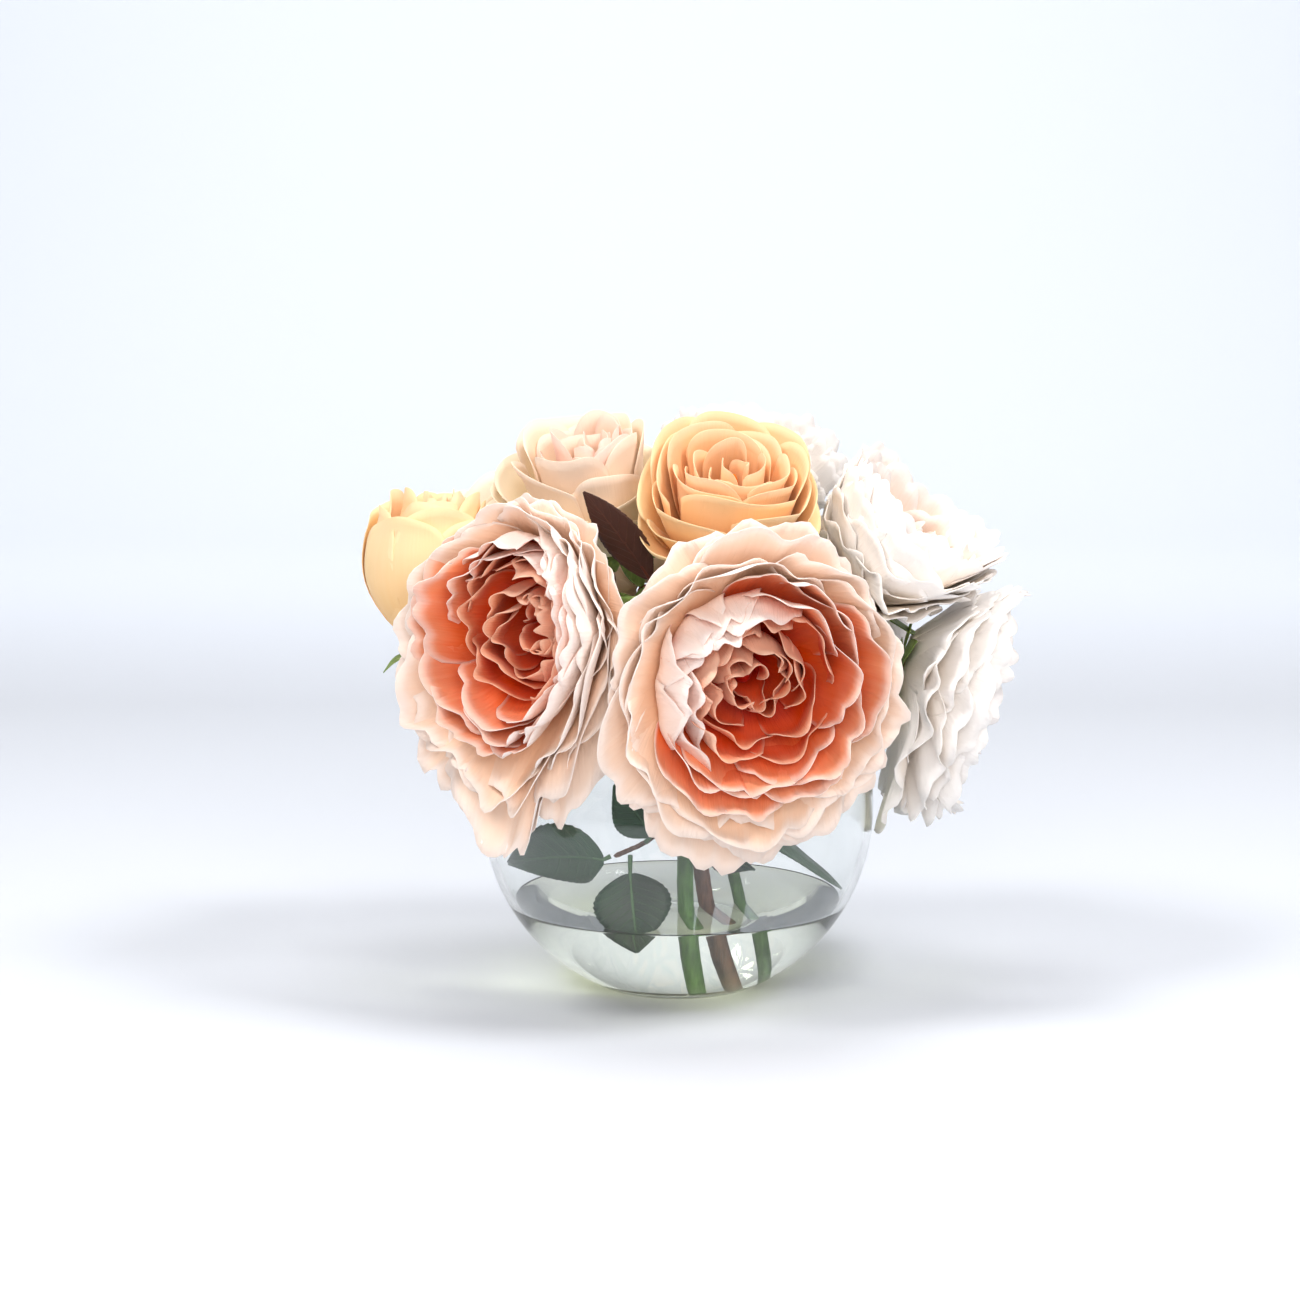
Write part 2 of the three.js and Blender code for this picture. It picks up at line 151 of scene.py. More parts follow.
def petal_paint(name, deep, middle, edge, back, back_edge, pleat=1.0):
    """Woven petal: deep at its root, paler to a light rim, paler still on its back. The warm
    share of a ring keeps the deep colour further up the petal."""
    p = Paint(name)
    along, rim, behind = p.field("along"), p.field("rim"), p.field("back")
    tint, across, warm = p.field("tint"), p.field("across"), p.field("warm")
    streak = p.noise(p.vector(across * 7.0, along * 1.1, tint * 5.0), 2.0, 3.0, 0.55)
    cloud = p.noise(p.place(), 60.0, 2.0)
    loose = (cloud - 0.5) * 0.3 + (streak - 0.5) * 0.16 + tint * 0.06
    height = p.maths("ADD", along - warm * 0.55, loose)
    face = p.blend(p.step(height, 0.0, 0.55), deep, middle)
    face = p.blend(p.step(height, 0.5, 1.0), face, edge)
    face = p.blend(p.step(rim + (streak - 0.5) * 0.25, 0.3, 1.1) * 0.55, face, back_edge)
    rear = p.blend(p.step(height, 0.1, 0.85), back, back_edge)
    colour = p.blend(p.step(behind, 0.35, 0.65), face, rear)
    colour = p.node("HueSaturation", None, {"Color": colour, "Value": 0.985 + tint * 0.03,
                                            "Saturation": 1.0 + (cloud - 0.5) * 0.2})
    weave = p.noise(p.place(), 2300.0, 1.0)
    pleats = p.noise(p.vector(across * 13.0, along * 0.9, tint * 9.0), 2.0, 2.0, 0.5)
    fine = p.bump(weave, 0.1, 0.0002)
    fold = p.bump(pleats, 0.3 * pleat, 0.0012, fine)
    return p.finish(p.skin(Base_Color=colour, Roughness=0.62 + (weave - 0.5) * 0.2, Normal=fold,
                           Sheen_Weight=0.08, Sheen_Roughness=0.4, Specular_IOR_Level=0.25))


def clear_paint(name, tint, ior, ripple):
    """Clear glass or resin that lets light through to what stands in it."""
    p = Paint(name)
    swell = p.bump(p.noise(p.place(), 22.0, 2.0), ripple, 0.002)
    solid = p.skin(Base_Color=tint, Roughness=0.0, IOR=ior, Transmission_Weight=1.0, Normal=swell)
    through = p.node("BsdfTransparent", None, {"Color": (0.90, 0.91, 0.82, 1.0)})
    shade = p.node("LightPath", out=1)
    return p.finish(p.node("MixShader", None, {0: shade, 1: solid, 2: through}))


def stem_paint(name, dark, light, rough):
    """Wrapped stem: grain stretched along Z over slow patches of a lighter tone."""
    p = Paint(name)
    at = p.place()
    stretched = p.node("Mapping", None, {"Vector": at, "Scale": (1.0, 1.0, 0.16)})
    grain = p.noise(stretched, 700.0, 3.0, 0.6)
    patch = p.noise(at, 90.0, 2.0)
    colour = p.blend(p.step(grain * 0.5 + patch * 0.5, 0.35, 0.68), dark, light)
    bark = p.bump(grain, 0.5, 0.0006)
    return p.finish(p.skin(Base_Color=colour, Roughness=rough + (grain - 0.5) * 0.25, Normal=bark))


def leaf_paint(name, dark, light, vein, under):
    """Leaf with a midrib and side veins that run out and forward to its edge."""
    p = Paint(name)
    along, across, behind = p.field("along"), p.field("across"), p.field("back")
    side = p.maths("ABSOLUTE", across)
    rib = 1.0 - p.step(side, 0.015, 0.06)
    wave = p.maths("SINE", (along * 9.0 - side * 2.1) * (2 * math.pi))
    lines = p.step(wave, 0.86, 1.0) * (1.0 - side * 0.45)
    net = p.noise(p.place(), 420.0, 3.0, 0.6)
    cloud = p.noise(p.place(), 45.0, 2.0)
    colour = p.blend(p.step(cloud * 0.7 + net * 0.3, 0.35, 0.7), dark, light)
    colour = p.blend(p.maths("MAXIMUM", rib * 0.8, lines * 0.4), colour, vein)
    colour = p.blend(p.step(behind, 0.4, 0.6) * 0.55, colour, under)
    relief = p.bump(p.maths("MAXIMUM", rib, lines) * -0.8 + net * 0.35, 0.5, 0.0007)
    return p.finish(p.skin(Base_Color=colour, Roughness=0.42 + net * 0.16, Normal=relief,
                           Specular_IOR_Level=0.4))


PAINTS = {
    "clear_glass": clear_paint("clear_glass", (0.97, 0.985, 0.975, 1), 1.5, 0.02),
    "clear_filling": clear_paint("clear_filling", (1.0, 0.995, 0.88, 1), 1.36, 0.01),
    "green_stem": stem_paint("green_stem", hue("#2f5526"), hue("#5d8a45"), 0.5),
    "brown_stem": stem_paint("brown_stem", hue("#3c241b"), hue("#7a5240"), 0.6),
    "calyx": stem_paint("calyx", hue("#5d7a35"), hue("#93a85a"), 0.55),
    "green_leaf": leaf_paint("green_leaf", hue("#10241a"), hue("#21452c"), hue("#4a6e46"),
                             hue("#3d5a44")),
    "burgundy_leaf": leaf_paint("burgundy_leaf", hue("#2a0d08"), hue("#4a1d14"), hue("#6b3324"),
                                hue("#5b3a30")),
}
# Root, middle and edge of a petal's face, then its back and the edge of its back, and how
# strongly it is pleated.
PETAL_COLOURS = {
    "coral_peony_outer": ("#ee7c42", "#fbcba6", "#fee2cd", "#fbd6ba", "#fff3ec", 1.2),
    "coral_peony_inner": ("#d83410", "#f0713e", "#f8ac84", "#fad2bc", "#fff0e8", 1.1),
    "coral_peony_heart": ("#c82006", "#ec5c2c", "#f6a27a", "#f38e62", "#fbccb0", 1.1),
    "cream_peony_outer": ("#f2cda2", "#f9e4ca", "#fdf3e8", "#fcefe0", "#fffaf6", 1.0),
    "cream_peony_inner": ("#f2c298", "#f9dfc8", "#fdf2ea", "#fcefe2", "#fff8f4", 1.0),
    "cream_peony_heart": ("#eea87e", "#f6cfb2", "#fce8da", "#f9dcc8", "#fef0e6", 1.0),
    "apricot_rose_outer": ("#f09a48", "#fbc68c", "#fddaa6", "#fbc886", "#fddcaa", 0.4),
    "apricot_rose_inner": ("#ea8430", "#fbc084", "#fed4a4", "#fbc686", "#fdd6a6", 0.4),
    "apricot_rose_heart": ("#e67c2a", "#f9b678", "#fdd0a2", "#f9c08a", "#fdd4aa", 0.4),
    "blush_rose_outer": ("#f8d8a0", "#feecc6", "#fdebcc", "#feeecb", "#fde8cc", 0.5),
    "blush_rose_inner": ("#f7d298", "#fde8c0", "#fce6ca", "#fdeac4", "#fce2cc", 0.5),
    "blush_rose_heart": ("#f5ca8e", "#fce2b8", "#fbdcc4", "#fce4bc", "#fad6c6", 0.5),
}
PAINTS.update({name: petal_paint(name, *map(hue, tones), pleat)
               for name, (*tones, pleat) in PETAL_COLOURS.items()})


# ---------------------------------------------------------------- mesh making
def make_piece(name, points, faces, slot, stands_for, fields=None):
    """A named mesh in its place, riding on the root body, standing for its CAD nodes."""
    mesh = bpy.data.meshes.new(name)
    mesh.from_pydata(points.tolist(), [], faces if isinstance(faces, list) else faces.tolist())
    for field, values in (fields or {}).items():
        held = mesh.attributes.new(field, "FLOAT", "POINT")
        held.data.foreach_set("value", np.asarray(values, np.float32).ravel())
    mesh.polygons.foreach_set("use_smooth", [True] * len(mesh.polygons))
    mesh.materials.append(PAINTS[slot])
    mesh.update()
    piece = bpy.data.objects.new(name, mesh)
    bpy.context.scene.collection.objects.link(piece)
    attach(piece, ROOT)
    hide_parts(*stands_for)


def turned_out(points, faces):
    """The faces, turned over if the volume they close comes out negative."""
    corners = points[faces]
    spread = np.einsum("ij,ij->i", corners[:, 0], np.cross(corners[:, 1], corners[:, 2]))
    spread += np.einsum("ij,ij->i", corners[:, 0], np.cross(corners[:, 2], corners[:, 3]))
    return faces if spread.sum() > 0 else faces[:, ::-1]


def lathe(profile, around=128):
    """Profile points (radius, height) carried round Z. The first and last lie on the axis."""
    profile = np.asarray(profile, float)
    turn = np.linspace(0, 2 * np.pi, around, endpoint=False)
    ring = profile[1:-1]
    rows = len(ring)
    points = np.stack([ring[:, None, 0] * np.cos(turn), ring[:, None, 0] * np.sin(turn),
                       np.repeat(ring[:, 1:2], around, 1)], -1).reshape(-1, 3)
    ends = np.array([[0, 0, profile[0, 1]], [0, 0, profile[-1, 1]]])
    i, k = np.meshgrid(np.arange(rows - 1), np.arange(around), indexing="ij")
    nxt = (k + 1) % around
    quads = np.stack([i * around + k, i * around + nxt, (i + 1) * around + nxt, (i + 1) * around + k], -1)
    faces = quads.reshape(-1, 4).tolist()
    first, last, top = rows * around, rows * around + 1, (rows - 1) * around
    faces += [[first, (j + 1) % around, j] for j in range(around)]
    faces += [[last, top + j, top + (j + 1) % around] for j in range(around)]
    return np.vstack([points, ends]), faces


def normals_of(surface):
    """Unit normals of grids (petals, rows, columns, 3): cross product of the two directions."""
    down, sideways = np.gradient(surface, axis=1), np.gradient(surface, axis=2)
    normal = np.cross(down, sideways)
    return normal / np.maximum(np.linalg.norm(normal, axis=-1, keepdims=True), 1e-9)


def leafy_solid(surface, fields, thick):
    """Thin closed solids from grids: each grid is moved half the thickness either way along
    its normal, and the two faces are joined by a strip round their edge."""
    count, rows, columns = surface.shape[:3]
    normal = normals_of(surface) * thick / 2
    inner, outer = surface + normal, surface - normal
    points = np.stack([inner, outer], 1).reshape(-1, 3)
    size = rows * columns
    i, j = np.meshgrid(np.arange(rows - 1), np.arange(columns - 1), indexing="ij")
    a = (i * columns + j).ravel()
    quads = np.stack([a, a + 1, a + columns + 1, a + columns], 1)
    loop = np.concatenate([np.arange(columns - 1), np.arange(rows - 1) * columns + columns - 1,
                           size - 1 - np.arange(columns - 1),
                           (rows - 1 - np.arange(rows - 1)) * columns])
    after = np.roll(loop, -1)
    strip = np.stack([loop, loop + size, after + size, after], 1)
    one = np.vstack([quads, quads[:, ::-1] + size, strip])
    faces = (one[None] + (np.arange(count) * 2 * size)[:, None, None]).reshape(-1, 4)
    doubled = {key: np.stack([value, value], 1).ravel() for key, value in fields.items()}
    doubled["back"] = np.stack([np.zeros_like(fields["along"]), np.ones_like(fields["along"])], 1).ravel()
    return points, turned_out(points, faces), doubled


def join(parts):
    """Several (points, faces, fields) as one, the fields padded with noughts where missing."""
    names = sorted({key for part in parts for key in part[2]})
    points = np.vstack([part[0] for part in parts])
    faces, fields, start = [], {key: [] for key in names}, 0
    for at, sides, held in parts:
        listed = sides if isinstance(sides, list) else sides.tolist()
        faces += [[c + start for c in side] for side in listed]
        for key in names:
            fields[key].append(np.asarray(held.get(key, np.zeros(len(at)))).ravel())
        start += len(at)
    return points, faces, {key: np.concatenate(value) for key, value in fields.items()}


# ---------------------------------------------------------------- where the blooms are
HEART_SHARE = {"peony": 0.34, "rose": 0.36, "half_open": 0.36}
HEART_HALF = {"peony": 0.34, "rose": 0.42, "half_open": 0.6}
WAIST = {"peony": 0.45, "rose": 0.45, "half_open": 1.05}
CALYX_HALF, CALYX_RADIUS = 4.5, 6.0
FOOT_RADIUS = 30.0
KEEP_APART = 0.5
KEEP_OFF_GLASS = 0.9
SETTLING_ROUNDS = 3
# The bay beside the burgundy leaf: a point on its edge, the way out of the bloom and along
# the leaf, and how fast the bay closes with the square of the way along.
BAY_BLOOM = "left_peony"
BAY_EDGE, BAY_OUT = np.array([-27.5, -45, 180.5]), np.array([0.81, 0.0, 0.59])
BAY_ALONG, BAY_BEND = np.array([-0.59, 0.0, 0.81]), 0.02


def unit_of(v):
    """Vectors along the last axis, each divided by its length."""
    return v / np.maximum(np.linalg.norm(v, axis=-1, keepdims=True), 1e-9)


def corners_of(node):
    """A CAD node's corners in millimetres."""
    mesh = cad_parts[node].data
    at = np.empty(len(mesh.vertices) * 3)
    mesh.vertices.foreach_get("co", at)
    return at.reshape(-1, 3) / MM


class Bloom:
    """A bloom's place, read from its CAD heart and calyx: base, facing, radius and height.
    Sag is how far its outer petals drop, fold says where and how far inner petals fold in,
    full widens it, claim and ahead set its share of the room between it and its neighbours
    and nod turns it from the CAD facing."""

    def __init__(self, name, form, family, sag=0.0, turn=0.0, fold=None, full=1.0, claim=1.0,
                 ahead=0.0, nod=(0, 0, 0), height_share=1.0):
        self.name, self.form, self.family = name, form, family
        self.sag, self.turn, self.fold = sag, turn, fold
        self.claim, self.ahead = claim, ahead
        heart, calyx = corners_of(name + "_heart"), corners_of(name + "_calyx")
        middle = heart.mean(0)
        facing = middle - calyx.mean(0)
        self.facing = facing / np.linalg.norm(facing)
        foot = (calyx @ self.facing).max()
        self.base = middle + self.facing * (foot + 0.5 - middle @ self.facing)
        out = heart - middle
        height = out @ self.facing
        spread = np.linalg.norm(out - height[:, None] * self.facing, axis=1).max()
        radius = spread / HEART_SHARE[form]
        self.tall = height_share * (height.max() - height.min()) / (2 * HEART_HALF[form] * radius)
        self.radius = radius * full
        self.facing = unit_of(self.facing + np.array(nod))
        side = np.array([1.0, 0, 0]) if abs(self.facing[2]) > 0.95 else np.array([0, 0, 1.0])
        first = np.cross(side, self.facing)
        self.first = first / np.linalg.norm(first)
        self.second = np.cross(self.facing, self.first)
        self.waist = self.base + self.facing * WAIST[form] * self.radius

    def to_world(self, local):
        return (self.base + local[..., :1] * self.first + local[..., 1:2] * self.second
                + local[..., 2:] * self.facing)


def crowd(sets, distance, normal, anchors):
    """Draws everything beyond the free line in evenly, so that what crossed the divider
    stops at it: new distance = free - (free - distance) * free / (free - deepest)."""
    free = min(distance(a) - r for a, r in anchors)
    deepest = min(distance(s).min() for s in sets)
    if deepest >= 0 or free <= 0.5:
        return sets
    ease = free / (free - deepest)
    moved = []
    for s in sets:
        d = distance(s)
        by = np.where(d < free, free - (free - d) * ease - d, 0.0)
        moved.append(s + by[..., None] * normal(s))
    return moved


def settle(bloom, blooms, sets):
    """Keeps a bloom's petals on its own side of each neighbour, outside the bowl and, in a
    bay of parabolic outline, clear of the burgundy leaf that stands beside it."""
    bowl_low, bowl_high = (np.array(c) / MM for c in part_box("glass_bowl"))
    bowl_radius = (bowl_high[0] - bowl_low[0]) / 2
    centre = np.array([0, 0, math.sqrt(bowl_radius ** 2 - FOOT_RADIUS ** 2)])
    heart = bloom.base + bloom.facing * 0.4 * bloom.radius * bloom.tall
    anchors = [(bloom.base - bloom.facing * CALYX_HALF, CALYX_RADIUS), (heart, 0.12 * bloom.radius)]

    def off_glass(p):
        return np.linalg.norm(p - centre, axis=-1) - bowl_radius - KEEP_OFF_GLASS

    def outward(p):
        away = p - centre
        return away / np.linalg.norm(away, axis=-1, keepdims=True)

    def in_bay(p):
        return (BAY_EDGE - p) @ BAY_OUT + BAY_BEND * ((p - BAY_EDGE) @ BAY_ALONG) ** 2

    for _ in range(SETTLING_ROUNDS):
        for other in blooms:
            if other is bloom:
                continue
            across = other.waist - bloom.waist
            mine, theirs = bloom.radius * bloom.claim, other.radius * other.claim
            between = bloom.waist + across * mine / (mine + theirs)
            lean = np.array([0, 1.0, 0]) * (bloom.ahead - other.ahead) * np.linalg.norm(across)
            n = unit_of(across + lean)
            sets = crowd(sets, lambda p: (between - p) @ n - KEEP_APART, lambda p: -n, anchors)
        if bloom.name == BAY_BLOOM:
            sets = crowd(sets, in_bay, lambda p: -BAY_OUT, anchors)
        sets = crowd(sets, off_glass, outward, [(heart, 0.1 * bloom.radius)])
    return sets


# ---------------------------------------------------------------- petals
ROWS, COLUMNS = 11, 27
PETAL_THICK = 0.3
WIDEST_WRAP = 1.25
SWELL = 0.012
# What a ring of petals is unless its own line says otherwise. Turn and wild are in radians
# and shares; lobes counts the lobes on the free edge; the rest are shares of the radius.
PLAIN_RING = dict(turn=0.0, wild=0.06, lobes=5.0, lobe=0.04, shoulder=0.2, round=2.6, uneven=1.0,
                  point=0.0, bow=1.6, climb=1.7, foot=0.07, foot_height=0.02, flat=0.35, cup=0.04,
                  tuck=0.018, lip_from=0.7, lip_out=0.0, lip_drop=0.0, close=0.0, foldable=0.0,
                  ruffle=0.02, pleat=0.0, warm=0.0)


def ease_in(value, start, end):
    """0 before start, 1 after end, t t (3 - 2t) between."""
    t = np.clip((value - start) / (end - start), 0, 1)
    return t * t * (3 - 2 * t)


def free_edge(petals, u, phase):
    """The across-measure bent a little, and how far the free edge reaches at it: it drops at
    the shoulders and is cut into rounded lobes |sin|."""
    bent = u + 0.12 * np.sin(2.5 * u + 6 * phase[4])
    lobed = np.abs(np.sin((bent * petals.lobes / 2 + phase[0]) * np.pi)) ** 0.8 - 0.7
    outline = (1 - petals.shoulder * np.abs(u) ** petals.round
               + petals.lobe * lobed * (0.6 + 0.8 * phase[1])
               + 0.03 * petals.uneven * np.sin(3.0 * u + 6.3 * phase[2])
               + petals.point * np.exp(-(u / 0.25) ** 2))
    return bent, outline


def waves(bloom, petals, bent, v, around, phase):
    """How far a petal stands off its plain form: a ruffle of two sines and pleats, both
    growing towards the free edge, on a slow swell round the bloom."""
    unit = bloom.radius
    wave = (np.sin((bent * petals.lobes * 0.5 + phase[3]) * np.pi)
            + 0.7 * np.sin((bent * petals.lobes * 0.27 + phase[2]) * np.pi))
    ruffle = petals.ruffle * unit * v ** 2.6 * wave
    swell = SWELL * unit * v * np.sin(around * 5 + bloom.turn * 3)
    pleat = (petals.pleat * unit * v ** 1.3
             * np.sin((bent * petals.lobes * (1.1 - 0.25 * v) + phase[0] * 2) * np.pi) * (0.4 + phase[1]))
    return ruffle + swell + pleat


def ring_of_petals(bloom, petals, dice):
    """Petals side by side round the bloom's axis. Along a petal (v) its radius grows as
    foot + (reach - foot)(1 - (1 - v)^bow) and its height as foot_height + rise v^climb;
    across it (u) it wraps round the axis over its width. The free edge and the waves come
    from the functions above. The lip leans out and down, a closing petal bends inward."""
    unit, shape = bloom.radius, (petals.count, 1, 1)

    def about(value, spread):
        return value * (1 + spread * dice.uniform(-1, 1, shape))

    turn = (bloom.turn + petals.turn + np.arange(petals.count).reshape(shape) / petals.count * 2 * np.pi
            + dice.uniform(-1, 1, shape) * petals.wild * 2.2)
    u = np.linspace(-1, 1, COLUMNS)[None, None, :]
    v = (np.linspace(0, 1, ROWS) ** 0.85)[None, :, None]
    phase = dice.uniform(0, 1, (5, *shape))
    bent, outline = free_edge(petals, u, phase)
    t = v * (1 + (outline - 1) * ease_in(v, 0.1, 0.95))
    reach = about(petals.reach, petals.wild) * unit
    rise = about(petals.rise, petals.wild) * unit * bloom.tall
    close = petals.close * np.ones(shape)
    if bloom.fold is not None:
        side, strength = bloom.fold
        away = np.abs(np.sin((turn - bloom.turn - side) / 2))
        close = close + petals.foldable * strength * (1 - ease_in(away, 0.45, 0.75))

    foot, left = petals.foot * unit, 1 - t
    radius = foot + (reach - foot) * (1 - np.sign(left) * np.abs(left) ** petals.bow)
    height = petals.foot_height * unit + rise * np.maximum(t, 0) ** petals.climb
    width = petals.width * unit * (0.28 + 0.72 * np.sin(np.pi / 2 * np.minimum(v / 0.66, 1)))
    arc = u * width / np.maximum(radius, 0.42 * petals.width * unit)
    arc = WIDEST_WRAP * np.tanh(arc / WIDEST_WRAP)
    radius = radius * (1 + petals.flat * (1 / np.cos(arc * 0.8) - 1))
    radius = radius - petals.cup * unit * u ** 2 * v ** 1.5
    radius = radius + petals.tuck * unit * u * v ** 0.7

    lip = ease_in(t, petals.lip_from, 1.05) ** 1.3
    radius = radius + about(petals.lip_out, 0.5) * unit * lip
    height = height - about(petals.lip_drop, 0.5) * unit * lip
    bend = ease_in(t, 0.4, 1.05) ** 1.2
    radius = radius - close * unit * bend * (1 - 0.35 * np.abs(u) ** 2)
    height = height - 0.28 * close * unit * ease_in(t, 0.62, 1.1)

    lean_out = rise * petals.climb * np.maximum(t, 0.02) ** (petals.climb - 1)
    lean_up = (reach - foot) * petals.bow * np.maximum(np.abs(left), 1e-3) ** (petals.bow - 1)
    size = np.sqrt(lean_out ** 2 + lean_up ** 2)
    off = waves(bloom, petals, bent, v, arc + turn, phase)
    radius = radius + off * lean_out / size
    height = height - off * lean_up / size
    angle = turn + arc
    surface = np.stack([radius * np.cos(angle), radius * np.sin(angle), height], -1)
    rim = np.maximum(ease_in(v, 0.8, 1.0), ease_in(np.abs(u), 0.84, 1.0) * ease_in(v, 0.3, 0.6))
    full = np.ones((petals.count, ROWS, COLUMNS))
    fields = {"along": v * full, "across": u * full, "rim": rim * full,
              "tint": dice.uniform(-1, 1, shape) * full, "warm": petals.warm * full}
    return surface, fields


def hang(bloom, surface):
    """Outer petals sag: each point drops by the square of how far out it stands."""
    out = np.linalg.norm(surface - bloom.base
                         - ((surface - bloom.base) @ bloom.facing)[..., None] * bloom.facing, axis=-1)
    drop = bloom.sag * np.minimum(out / bloom.radius, 1.1) ** 2
    return surface - drop[..., None] * np.array([0, 0, 1.0])


def ring(count, reach, rise, width, **more):
    """A ring's count of petals, its shares of the radius, and what sets it off a plain one."""
    return SimpleNamespace(**{**PLAIN_RING, **more}, count=count, reach=reach, rise=rise, width=width)


PEONY = {
    "outer": [
        ring(6, 1.07, 0.22, 0.70, bow=1.1, climb=1.9, turn=0.0, lobes=6, lobe=0.055, ruffle=0.05,
             pleat=0.014, lip_drop=0.12, lip_from=0.5, flat=0.2, wild=0.08, foot_height=-0.02),
        ring(6, 1.02, 0.34, 0.66, bow=1.2, climb=1.9, turn=0.52, lobes=6, lobe=0.055, ruffle=0.048,
             pleat=0.014, lip_drop=0.08, lip_from=0.55, flat=0.25, wild=0.08),
        ring(6, 0.96, 0.44, 0.62, bow=1.3, climb=1.8, turn=0.15, lobes=5, lobe=0.055, ruffle=0.042,
             pleat=0.012, wild=0.07, lip_out=0.05, lip_drop=0.04),
        ring(6, 0.90, 0.53, 0.60, bow=1.42, climb=1.8, turn=0.7, lobes=5, lobe=0.05, ruffle=0.038,
             pleat=0.01, wild=0.07, warm=0.12, lip_out=0.04, lip_drop=0.02),
        ring(6, 0.86, 0.60, 0.57, bow=1.6, climb=1.8, turn=0.3, lobes=5, lobe=0.05, ruffle=0.026,
             pleat=0.009, wild=0.05, warm=0.16, foldable=0.03, lip_out=0.02),
    ],
    "inner": [
        ring(6, 0.78, 0.66, 0.52, bow=1.8, turn=0.85, lobes=5, lobe=0.055, ruffle=0.022, foldable=0.36,
             warm=0.12, wild=0.06, pleat=0.008),
        ring(6, 0.70, 0.665, 0.47, bow=2.05, turn=0.35, lobes=4.5, lobe=0.055, ruffle=0.024,
             foldable=0.3, warm=0.16, wild=0.08, pleat=0.008),
        ring(6, 0.62, 0.65, 0.42, bow=2.25, turn=0.9, lobes=4, lobe=0.06, ruffle=0.026, foldable=0.22,
             warm=0.2, wild=0.09, pleat=0.007),
    ],
    "heart": [
        ring(5, 0.54, 0.61, 0.38, bow=2.3, turn=0.3, lobes=3.5, lobe=0.07, ruffle=0.03, wild=0.12,
             cup=0.04, foldable=0.08, warm=0.16, close=0.12, pleat=0.007),
        ring(5, 0.46, 0.575, 0.36, bow=2.25, turn=0.6, lobes=3, lobe=0.07, ruffle=0.032, wild=0.15,
             cup=0.05, warm=0.12, close=0.14, pleat=0.007),
        ring(5, 0.37, 0.54, 0.33, bow=2.1, turn=0.1, lobes=3, lobe=0.07, ruffle=0.034, wild=0.2,
             cup=0.05, warm=0.08, close=0.16, pleat=0.007),
        ring(4, 0.28, 0.495, 0.28, bow=2.0, turn=0.5, lobes=3, lobe=0.07, ruffle=0.034, wild=0.22,
             cup=0.05, warm=0.08, close=0.12),
        ring(3, 0.18, 0.45, 0.22, bow=1.6, turn=0.7, lobes=3, lobe=0.07, ruffle=0.03, wild=0.24,
             cup=0.05, warm=0.15, close=0.05),
    ],
}
ROSE = {
    "outer": [
        ring(4, 1.07, 0.60, 0.92, bow=1.6, climb=1.7, turn=0.0, lobe=0.0, shoulder=0.16, round=3.2,
             lip_out=0.08, lip_drop=0.20, lip_from=0.62, ruffle=0.018, lobes=3, flat=0.25, cup=0.0),
        ring(4, 0.95, 0.78, 0.84, bow=1.8, climb=1.7, turn=0.75, lobe=0.0, shoulder=0.15, round=3.2,
             lip_out=0.09, lip_drop=0.16, lip_from=0.68, ruffle=0.014, lobes=3, flat=0.2, cup=0.0),
    ],
    "inner": [
        ring(4, 0.80, 0.92, 0.76, bow=2.1, climb=1.6, turn=0.3, lobe=0.0, shoulder=0.14, round=3.0,
             lip_out=0.08, lip_drop=0.10, lip_from=0.76, ruffle=0.01, lobes=3, flat=0.1, tuck=0.04,
             cup=0.0),
        ring(4, 0.66, 0.97, 0.66, bow=2.5, climb=1.5, turn=1.1, lobe=0.0, shoulder=0.13, round=3.0,
             lip_out=0.06, lip_drop=0.06, lip_from=0.8, ruffle=0.008, lobes=3, flat=0.05, tuck=0.045,
             cup=0.0),
    ],
    "heart": [
        ring(4, 0.53, 0.98, 0.56, bow=2.8, climb=1.5, turn=0.5, lobe=0.0, shoulder=0.12, round=3.0,
             lip_out=0.05, lip_drop=0.03, lip_from=0.84, ruffle=0.007, lobes=3, flat=0.0, tuck=0.05,
             cup=0.0, wild=0.09),
        ring(3, 0.42, 0.97, 0.50, bow=3.0, climb=1.5, turn=1.2, lobe=0.0, shoulder=0.12, round=3.0,
             lip_out=0.04, lip_from=0.86, ruffle=0.006, lobes=3, flat=0.0, tuck=0.055, cup=0.0, wild=0.09),
        ring(3, 0.32, 0.95, 0.40, bow=3.0, climb=1.5, turn=0.4, lobe=0.0, shoulder=0.12, round=3.0,
             lip_out=0.03, lip_from=0.88, ruffle=0.006, lobes=3, flat=0.0, tuck=0.055, cup=0.0, wild=0.09),
        ring(3, 0.22, 0.94, 0.30, bow=3.0, climb=1.5, turn=1.4, lobe=0.0, shoulder=0.1, round=3.0,
             ruffle=0.005, lobes=3, flat=0.0, tuck=0.05, cup=0.0, wild=0.08),
        ring(2, 0.12, 0.92, 0.20, bow=2.4, climb=1.5, turn=0.2, lobe=0.0, shoulder=0.1, round=3.0,
             ruffle=0.004, lobes=3, flat=0.0, tuck=0.035, cup=0.0, foot=0.04),
    ],
}
